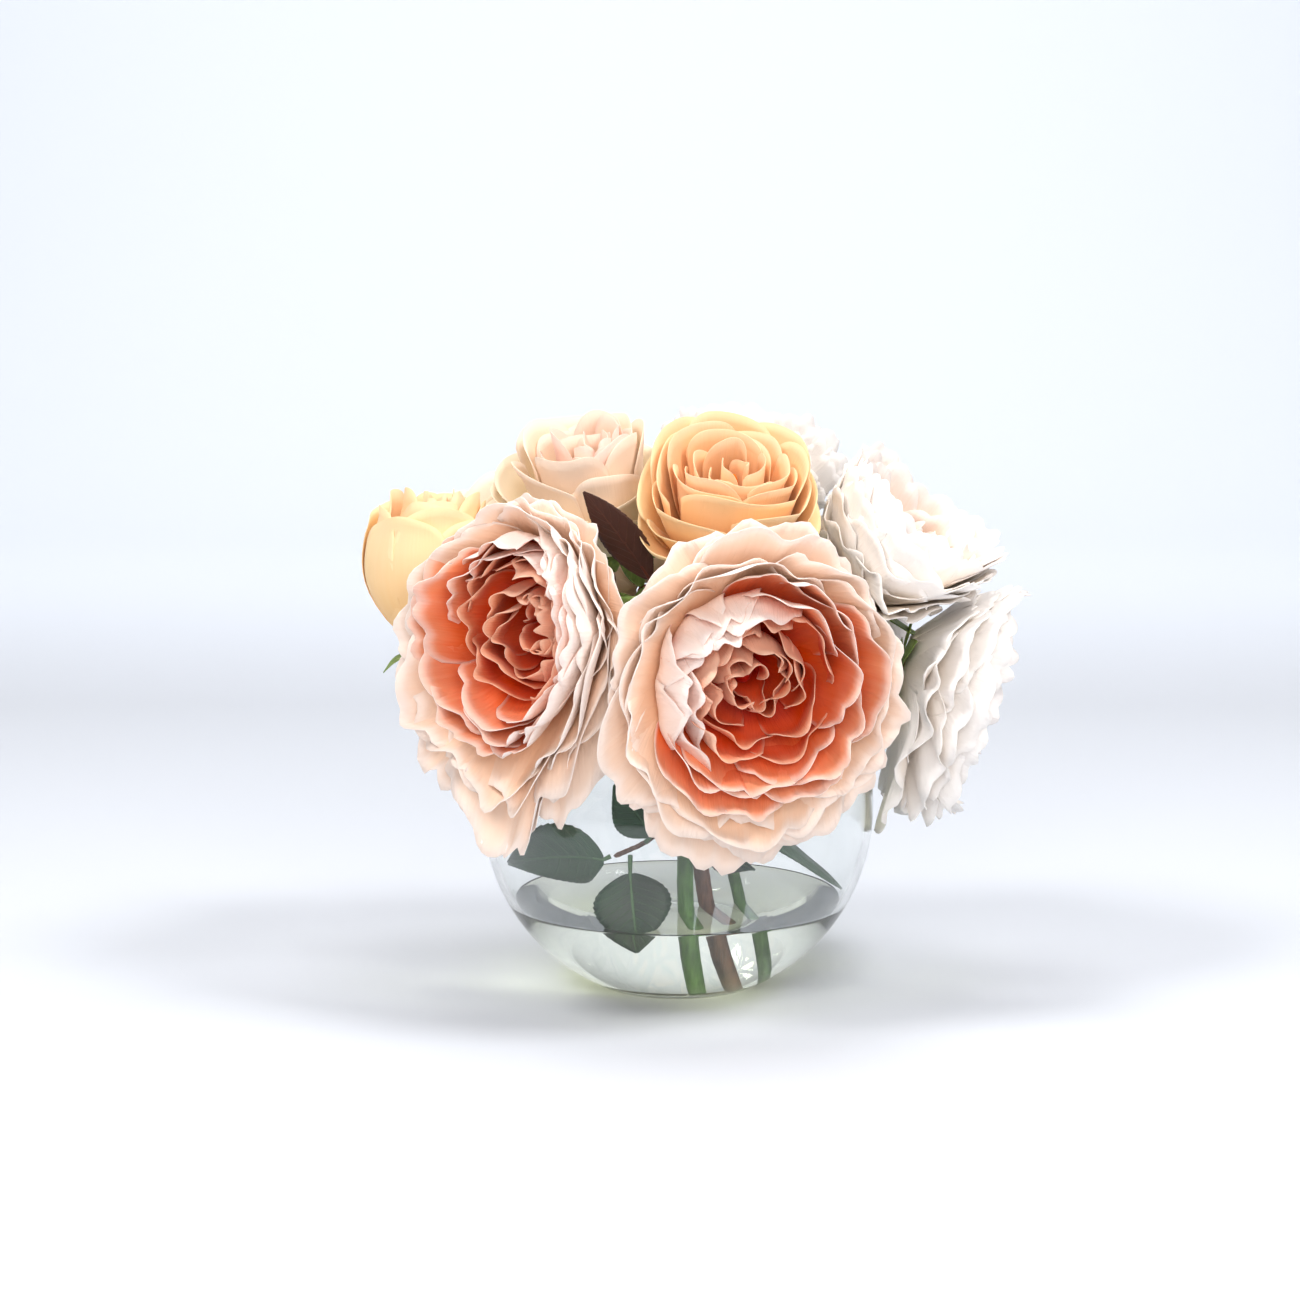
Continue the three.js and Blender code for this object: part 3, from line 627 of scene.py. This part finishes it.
HALF_OPEN = {
    "outer": [
        ring(4, 0.99, 1.50, 0.90, bow=2.6, climb=1.15, turn=0.0, lobe=0.0, uneven=0.4, point=0.02,
             shoulder=0.2, round=3.0, lip_out=0.10, lip_drop=0.10, lip_from=0.8, close=0.28, ruffle=0.01,
             flat=0.1),
        ring(4, 0.88, 1.58, 0.84, bow=2.8, climb=1.15, turn=0.8, lobe=0.0, uneven=0.4, point=0.02,
             shoulder=0.2, round=3.0, lip_out=0.08, lip_drop=0.06, lip_from=0.84, close=0.3, ruffle=0.01,
             flat=0.05),
    ],
    "inner": [
        ring(4, 0.76, 1.60, 0.74, bow=3.0, climb=1.15, turn=0.4, lobe=0.0, uneven=0.3, shoulder=0.26,
             lip_out=0.05, lip_from=0.86, close=0.3, ruffle=0.006, flat=0.0, tuck=0.03),
        ring(4, 0.63, 1.60, 0.62, bow=3.0, climb=1.15, turn=1.1, lobe=0.0, uneven=0.3, shoulder=0.24,
             lip_out=0.04, lip_from=0.88, close=0.28, ruffle=0.006, flat=0.0, tuck=0.04),
    ],
    "heart": [
        ring(4, 0.50, 1.58, 0.50, bow=3.0, climb=1.15, turn=0.4, lobe=0.0, uneven=0.3, shoulder=0.2,
             close=0.24, ruffle=0.004, flat=0.0, tuck=0.04, cup=0.0),
        ring(3, 0.37, 1.56, 0.42, bow=3.0, climb=1.15, turn=0.9, lobe=0.0, uneven=0.3, shoulder=0.18,
             close=0.18, ruffle=0.004, flat=0.0, tuck=0.04, cup=0.0),
        ring(3, 0.24, 1.54, 0.30, bow=3.0, climb=1.15, turn=0.2, lobe=0.0, uneven=0.3, shoulder=0.16,
             close=0.12, ruffle=0.004, flat=0.0, tuck=0.03, cup=0.0),
        ring(2, 0.12, 1.52, 0.18, bow=3.0, climb=1.15, turn=0.9, lobe=0.0, uneven=0.3, shoulder=0.14,
             close=0.05, ruffle=0.003, flat=0.0, tuck=0.02, cup=0.0),
    ],
}
FORMS = {"peony": PEONY, "rose": ROSE, "half_open": HALF_OPEN}

BLOOMS = [
    Bloom("front_peony", "peony", "coral_peony", sag=4, turn=0.2, fold=(2.4, 1.0), claim=1.25, ahead=0.6,
          nod=(-0.04, 0, 0.2)),
    Bloom("left_peony", "peony", "coral_peony", sag=13, turn=1.1, fold=(0.3, 0.8), full=1.04, claim=0.9,
          ahead=0.2, nod=(0, 0, 0.03)),
    Bloom("top_rose", "rose", "apricot_rose", turn=0.4, full=1.12, claim=1.25, ahead=0.1),
    Bloom("left_rose", "half_open", "apricot_rose", turn=0.9, full=1.12),
    Bloom("blush_rose", "rose", "blush_rose", turn=1.7, full=1.12, claim=1.1, ahead=0.1,
          nod=(0.0, -0.25, 0.0), height_share=0.78),
    Bloom("right_peony", "peony", "cream_peony", sag=9, turn=0.8, fold=(2.0, 0.5), full=1.24, claim=1.1),
    Bloom("low_right_peony", "peony", "cream_peony", sag=5, turn=2.2, fold=(1.0, 0.5), full=1.28,
          claim=1.05, ahead=0.1),
    Bloom("crown_peony", "peony", "cream_peony", turn=0.5, fold=(4.0, 0.5), full=1.06),
    Bloom("back_peony", "peony", "coral_peony", sag=4, turn=1.9, fold=(4.4, 0.8), full=1.02),
    Bloom("back_right_peony", "peony", "cream_peony", sag=4, turn=0.1, fold=(5.0, 0.6), full=1.04),
    Bloom("back_left_rose", "rose", "blush_rose", turn=2.6, full=1.04),
]
# Each layer's CAD node and the name of the piece that stands for it.
LAYERS = {"outer": ("outer_petals", "guard_petals"), "inner": ("inner_petals", "cup_petals"),
          "heart": ("heart", "heart_petals")}
BUD_HALF = {"peony": 0.11, "rose": 0.42, "half_open": 0.7}
BUD_RADIUS = 0.065
FIRST_SEED = 100


def bud(bloom):
    """The closed core of a heart: an egg, radius sin(a) and height cos(a) over half a turn."""
    a = np.linspace(0, np.pi, 13)
    half = BUD_HALF[bloom.form] * bloom.radius * bloom.tall
    profile = np.stack([BUD_RADIUS * bloom.radius * np.sin(a), half - half * np.cos(a) - 0.5], 1)
    points, faces = lathe(profile, 20)
    fields = {"along": np.full(len(points), 0.12), "warm": np.full(len(points), 0.2)}
    return bloom.to_world(points), faces, fields


def grow(bloom, dice):
    """All the petals of a bloom, settled together, then one piece for each layer."""
    surfaces, labels, fields = [], [], []
    for layer in LAYERS:
        for petals in FORMS[bloom.form][layer]:
            surface, held = ring_of_petals(bloom, petals, dice)
            surface = bloom.to_world(surface)
            surfaces.append(hang(bloom, surface) if layer == "outer" else surface)
            labels.append(layer)
            fields.append(held)
    surfaces = settle(bloom, BLOOMS, surfaces)
    for layer, (node, title) in LAYERS.items():
        picked = [k for k, label in enumerate(labels) if label == layer]
        layer_points = np.concatenate([surfaces[k] for k in picked])
        layer_fields = {key: np.concatenate([fields[k][key] for k in picked]) for key in fields[0]}
        solid = leafy_solid(layer_points, layer_fields, PETAL_THICK)
        if layer == "heart":
            solid = join([solid, bud(bloom)])
        points, faces, held = solid
        make_piece(f"{bloom.name}_{title}", points * MM, faces, f"{bloom.family}_{layer}",
                   [f"{bloom.name}_{node}"], held)


for number, bloom in enumerate(BLOOMS):
    grow(bloom, np.random.default_rng(FIRST_SEED + number))


# ---------------------------------------------------------------- bowl and filling
WALL = 2.8
LIP = 1.4
WETTED = 0.15


def sphere_arc(radius, centre, low, high, steps):
    """Profile points of a sphere between two heights."""
    a, b = math.asin((low - centre) / radius), math.asin((high - centre) / radius)
    t = np.linspace(a, b, steps)
    return np.stack([radius * np.cos(t), centre + radius * np.sin(t)], 1)


def bowl_and_filling():
    """The bowl turned in one piece, and the filling that reaches a hair into its wall."""
    low, high = (np.array(c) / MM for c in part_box("glass_bowl"))
    water_low, water_high = (np.array(c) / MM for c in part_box("clear_filling"))
    outside = (high[0] - low[0]) / 2
    centre = math.sqrt(outside ** 2 - FOOT_RADIUS ** 2)
    inside = outside - WALL
    rim = high[2] - LIP
    floor = water_low[2] - 0.3
    outer = sphere_arc(outside, centre, 0.4, rim, 90)
    foot = np.array([[0, 0.5], [20, 0.35], [FOOT_RADIUS - 3, 0.0], [FOOT_RADIUS - 1, 0.0]])
    mouth = outer[-1, 0]
    bead = np.linspace(-0.2, math.pi, 9)
    lip = np.stack([mouth - 1.3 + LIP * np.cos(bead), rim + LIP * np.sin(bead)], 1)
    inner = sphere_arc(inside, centre, floor + 0.5, rim - 0.5, 80)[::-1]
    bottom = np.array([[inner[-1, 0] * 0.9, floor + 0.1], [inner[-1, 0] * 0.6, floor], [0, floor]])
    points, faces = lathe(np.vstack([foot, outer, lip, inner, bottom]))
    make_piece("rose_bowl", points * MM, faces, "clear_glass", ["glass_bowl"])
    top = water_high[2]
    wet = sphere_arc(inside + WETTED, centre, floor + 0.4, top, 50)
    meniscus = np.array([[wet[-1, 0] - 0.5, top - 0.25], [wet[-1, 0] - 1.2, top - 0.55],
                         [wet[-1, 0] - 2.4, top - 0.75], [wet[-1, 0] - 5, top - 0.8], [0, top - 0.8]])
    base = np.array([[0, floor - WETTED], [inner[-1, 0] * 0.6, floor - WETTED],
                     [inner[-1, 0] * 0.9, floor]])
    points, faces = lathe(np.vstack([base, wet, meniscus]))
    make_piece("set_water", points * MM, faces, "clear_filling", ["clear_filling"])


bowl_and_filling()


# ---------------------------------------------------------------- stems
STEM_GRAIN, CALYX_GRAIN = 0.0007, 0.0006
WELD_WITHIN = 0.00002


def smooth_copy(node, name, slot, voxel):
    """A copy of a CAD node, its loose corners merged, remeshed fine and rounded."""
    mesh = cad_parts[node].data.copy()
    mesh.name = name
    piece = bpy.data.objects.new(name, mesh)
    bpy.context.scene.collection.objects.link(piece)
    weld = piece.modifiers.new("weld", "WELD")
    weld.merge_threshold = WELD_WITHIN
    skin = piece.modifiers.new("skin", "REMESH")
    skin.mode, skin.voxel_size, skin.use_smooth_shade = "VOXEL", voxel, True
    even = piece.modifiers.new("even", "CORRECTIVE_SMOOTH")
    even.iterations, even.use_only_smooth, even.factor = 6, True, 0.5
    bpy.context.view_layer.update()
    done = bpy.data.meshes.new_from_object(piece.evaluated_get(bpy.context.evaluated_depsgraph_get()))
    piece.modifiers.clear()
    piece.data = done
    done.materials.clear()
    done.materials.append(PAINTS[slot])
    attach(piece, ROOT)
    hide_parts(node)


smooth_copy("front_green_stem", "front_stem", "green_stem", STEM_GRAIN)
smooth_copy("brown_stem", "middle_stem", "brown_stem", STEM_GRAIN)
smooth_copy("right_green_stem", "right_stem", "green_stem", STEM_GRAIN)
for bloom in BLOOMS:
    smooth_copy(bloom.name + "_calyx", bloom.name + "_cup", "calyx", CALYX_GRAIN)


# ---------------------------------------------------------------- leaves
BLADE_THICK, SEPAL_THICK = 0.45, 0.4
STALK_RADII = (0.95, 0.5)
# Midrib, the way across, half-width, fold, stalk and paint of each leaf.
LEAVES = {
    "left_leaf": (((-28, -41, 57), (-44, -38, 59), (-64, -22, 52)), (0.35, -0.65, 0.75), 15, 0.16,
                  ((-25.3, -40.6, 58.2), (-28, -41, 57)), "green_leaf"),
    "round_leaf": (((-18, -43, 52), (-17, -50, 40), (-15, -52, 26)), (1, -0.1, 0.05), 14, 0.1,
                   ((-18, -39.2, 58.2), (-18, -43, 52)), "green_leaf"),
    "middle_leaf": (((4, -35, 66), (14, -46, 61), (28, -50, 55)), (-0.3, -0.55, 0.75), 12, 0.16,
                    ((-8.6, -30, 63.6), (4, -35, 66)), "green_leaf"),
    "right_leaf": (((30, -14, 64), (47, -25, 57), (61, -27, 43)), (-0.05, -1, -0.12), 9, 0.16,
                   ((20, -9.5, 65), (30, -14, 64)), "green_leaf"),
    "small_leaf": (((-10, -40, 66), (-16, -45, 76), (-24, -45, 86)), (0.9, 0.2, 0.5), 9, 0.14,
                   ((-12.2, -35.2, 62.6), (-10, -40, 66)), "green_leaf"),
    "burgundy_leaf": (((-11, -31, 162), (-23, -43, 182), (-35, -47, 196)), (0.85, -0.4, 0.4), 8, 0.12,
                      ((3.5, -4.5, 134), (-11, -31, 162)), "burgundy_leaf"),
}


def bezier(a, b, c, t):
    """The quadratic curve from a to c drawn towards b."""
    t = t[:, None]
    return (1 - t) ** 2 * a + 2 * t * (1 - t) * b + t ** 2 * c


def blade(rib, across, width, fold, teeth=15, tooth=0.055, rows=61, columns=13):
    """A leaf as a grid: the midrib is a quadratic curve, the half-width swells as
    width sin(pi t^0.8) cut by saw teeth, and the two halves rise by fold and curl back."""
    rib = [np.array(c, float) for c in rib]
    t = np.linspace(0, 1, rows)
    middle = bezier(*rib, t)
    along = unit_of(np.gradient(middle, axis=0))
    face = unit_of(np.cross(along, unit_of(np.array(across, float))))
    out = np.cross(face, along)
    u = np.linspace(-1, 1, columns)
    saw = 1 + tooth * (1 - np.mod(t * teeth, 1.0)) * ease_in(t, 0.05, 0.2)
    half = width * np.maximum(np.sin(np.pi * (0.02 + 0.975 * t) ** 0.8), 0.02) ** 0.92
    wide = half[:, None] * u * (1 + (saw[:, None] - 1) * np.abs(u) ** 8)
    lift = (np.abs(wide) * fold - 0.05 * width * u ** 4 + 0.035 * width
            * np.sin(t * 9.0)[:, None] * u * np.abs(u))
    grid = middle[:, None] + out[:, None] * wide[..., None] + face[:, None] * lift[..., None]
    shape = (1, rows, columns)
    fields = {"along": np.broadcast_to(t[:, None], shape), "across": np.broadcast_to(u, shape)}
    return grid[None], fields


def tube(path, radii, around=12):
    """A round rod along a path, its ends closed: each ring is radius (cos a side + sin a up)."""
    path = np.asarray(path, float)
    along = unit_of(np.gradient(path, axis=0))
    lean = np.array([0.31, 0.83, 0.46])
    side = unit_of(np.cross(along, lean))
    up = np.cross(along, side)
    a = np.linspace(0, 2 * np.pi, around, endpoint=False)
    radii = np.broadcast_to(np.asarray(radii, float), len(path))[:, None, None]
    rings = path[:, None] + radii * (np.cos(a)[None, :, None] * side[:, None]
                                     + np.sin(a)[None, :, None] * up[:, None])
    rows = len(path)
    i, k = np.meshgrid(np.arange(rows - 1), np.arange(around), indexing="ij")
    nxt = (k + 1) % around
    quads = np.stack([i * around + k, i * around + nxt, (i + 1) * around + nxt, (i + 1) * around + k], -1)
    ends = [list(range(around))[::-1], [(rows - 1) * around + k for k in range(around)]]
    return rings.reshape(-1, 3), quads.reshape(-1, 4).tolist() + ends


for name, (rib, across, width, fold, stalk, slot) in LEAVES.items():
    grid, held = blade(rib, across, width, fold)
    sheet = leafy_solid(grid, held, BLADE_THICK)
    start, end = (np.array(c, float) for c in stalk)
    toward = np.array(rib[1], float)
    t = np.linspace(0, 1, 12)
    on = toward - end
    path = np.vstack([bezier(start, (start + end) / 2, end, t),
                      bezier(end, end + on * 0.1, end + on * 0.25, t[1:])])
    rod = tube(path, np.linspace(*STALK_RADII, len(path)))
    points, faces, fields = join([sheet, (*rod, {})])
    make_piece(name + "_blade", points * MM, faces, slot, [name], fields)


# Each sepal's midrib as three (out, up) shares of the radius, then its half-width.
SEPAL = {"peony": ((0.10, -0.04), (0.34, -0.07), (0.60, -0.02), 0.085),
         "rose": ((0.12, -0.03), (0.36, -0.02), (0.66, 0.06), 0.09),
         "half_open": ((0.15, -0.02), (0.42, 0.04), (0.62, -0.22), 0.1)}


def sepals(bloom):
    """Five narrow leaves from the calyx, each a blade whose midrib runs out under the petals."""
    start, middle, tip, width = SEPAL[bloom.form]
    made = []
    for k in range(5):
        turn = bloom.turn + 0.5 + k * 2 * np.pi / 5
        out = np.array([np.cos(turn), np.sin(turn), 0.0])
        rib = [bloom.to_world((out * r + np.array([0, 0, h])) * bloom.radius)
               for r, h in (start, middle, tip)]
        side = bloom.to_world(np.array([-out[1], out[0], 0.0])) - bloom.base
        grid, held = blade(rib, side, width * bloom.radius, 0.15, 3, 0.0, 19, 7)
        made.append(leafy_solid(grid, held, SEPAL_THICK))
    return join(made)


for bloom in BLOOMS:
    points, faces, fields = sepals(bloom)
    make_piece(bloom.name + "_sepals", points * MM, faces, "calyx", [bloom.name + "_calyx"], fields)


# ---------------------------------------------------------------- stage
def stage_floor():
    """One sheet: flat, then rising behind as a quarter round into a wall."""
    x = np.linspace(-4, 4, 3)
    t = np.linspace(0, math.pi / 2, 24)
    y = np.concatenate([[-3.0, 0.0], 1.6 + 1.2 * np.sin(t), [2.8]])
    z = np.concatenate([[0.0, 0.0], 1.2 - 1.2 * np.cos(t), [4.0]])
    points = np.stack([np.repeat(x, len(y)), np.tile(y, 3), np.tile(z, 3)], 1)
    i, k = np.meshgrid(np.arange(2), np.arange(len(y) - 1), indexing="ij")
    a = (i * len(y) + k).ravel()
    faces = np.stack([a, a + len(y), a + len(y) + 1, a + 1], 1)
    mesh = bpy.data.meshes.new("floor")
    mesh.from_pydata(points.tolist(), [], faces.tolist())
    mesh.polygons.foreach_set("use_smooth", [True] * len(mesh.polygons))
    p = Paint("floor")
    p.finish(p.skin(Base_Color=(0.70, 0.724, 0.77, 1), Roughness=0.7))
    mesh.materials.append(p.material)
    floor = bpy.data.objects.new("floor", mesh)
    bpy.context.scene.collection.objects.link(floor)


def area_light(name, place, aim, size, power, colour=(1, 1, 1)):
    """A rectangular lamp at a place, turned to its aim."""
    lamp = bpy.data.lights.new(name, "AREA")
    lamp.shape, lamp.size, lamp.size_y = "RECTANGLE", size[0], size[1]
    lamp.energy, lamp.color = power, colour
    held = bpy.data.objects.new(name, lamp)
    held.location = place
    held.rotation_euler = (Vector(aim) - Vector(place)).to_track_quat("-Z", "Y").to_euler()
    bpy.context.scene.collection.objects.link(held)


stage_floor()
area_light("key_left", (-0.95, -0.55, 1.5), (0, 0, 0.12), (0.5, 0.5), 15)
area_light("key_right", (0.95, -0.45, 1.5), (0, 0, 0.12), (0.5, 0.5), 16)
area_light("top", (0.0, 0.15, 1.6), (0, 0, 0.1), (0.8, 0.6), 9)
area_light("front", (0.1, -2.0, 0.9), (0, 0, 0.13), (1.4, 0.8), 18, (1.0, 0.975, 0.95))
area_light("wall_wash", (0.0, 1.0, 1.3), (0, 2.6, 0.9), (3.0, 0.8), 37, (0.93, 0.96, 1.0))

world = bpy.data.worlds.new("studio")
world.use_nodes = True
world.node_tree.nodes["Background"].inputs[0].default_value = (0.95, 0.955, 1.0, 1)
world.node_tree.nodes["Background"].inputs[1].default_value = 0.26
bpy.context.scene.world = world
bpy.context.scene.view_settings.view_transform = "Standard"

lens = bpy.data.cameras.new("camera")
lens.lens, lens.sensor_width = 85.5, 36.0
camera = bpy.data.objects.new("camera", lens)
camera.location = (-0.0107, -1.178, 0.2988)
camera.rotation_euler = (math.radians(90 - 8.13), 0, 0)
bpy.context.scene.collection.objects.link(camera)
bpy.context.scene.camera = camera
